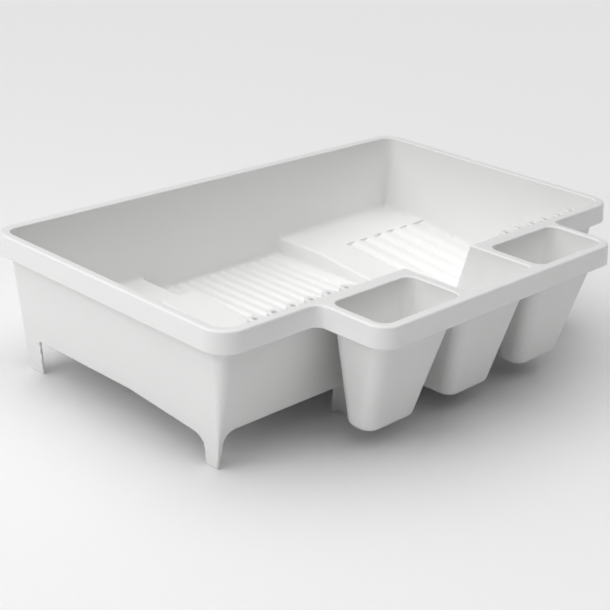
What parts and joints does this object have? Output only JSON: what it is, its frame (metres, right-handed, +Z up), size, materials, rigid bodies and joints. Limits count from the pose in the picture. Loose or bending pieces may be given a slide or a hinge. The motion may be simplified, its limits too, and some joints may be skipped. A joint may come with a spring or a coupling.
{
  "type": "paint roller tray",
  "caption": "Long ribbed tray on short feet with a turned-down rim, two raised sloping shelves, tab racks under the front rim and tapered cups hanging off its front edge.",
  "frame": {"origin": "on the ground under the middle of the tray's whole outline", "axes": "+X along the long front to the right, +Y towards the back, away from the cups, +Z up"},
  "size_m": [0.483, 0.331, 0.118],
  "materials": {
    "tray_plastic": "white moulded polypropylene with a soft sheen"
  },
  "bodies": {
    "root": {"tub_rim": "tray_plastic", "cup_rim": "tray_plastic", "back_wall": "tray_plastic", "left_wall": "tray_plastic", "right_wall": "tray_plastic", "front_wall": "tray_plastic", "centre_floor": "tray_plastic", "centre_ribs": "tray_plastic", "left_shelf": "tray_plastic", "left_drain_ribs": "tray_plastic", "right_shelf": "tray_plastic", "right_drain_ribs": "tray_plastic", "left_rack": "tray_plastic", "right_rack": "tray_plastic", "left_cup": "tray_plastic", "middle_cup": "tray_plastic", "right_cup": "tray_plastic", "front_left_foot": "tray_plastic", "front_right_foot": "tray_plastic", "back_left_foot": "tray_plastic", "back_right_foot": "tray_plastic", "inner_left_foot": "tray_plastic", "inner_right_foot": "tray_plastic"}
  },
  "joints": []
}
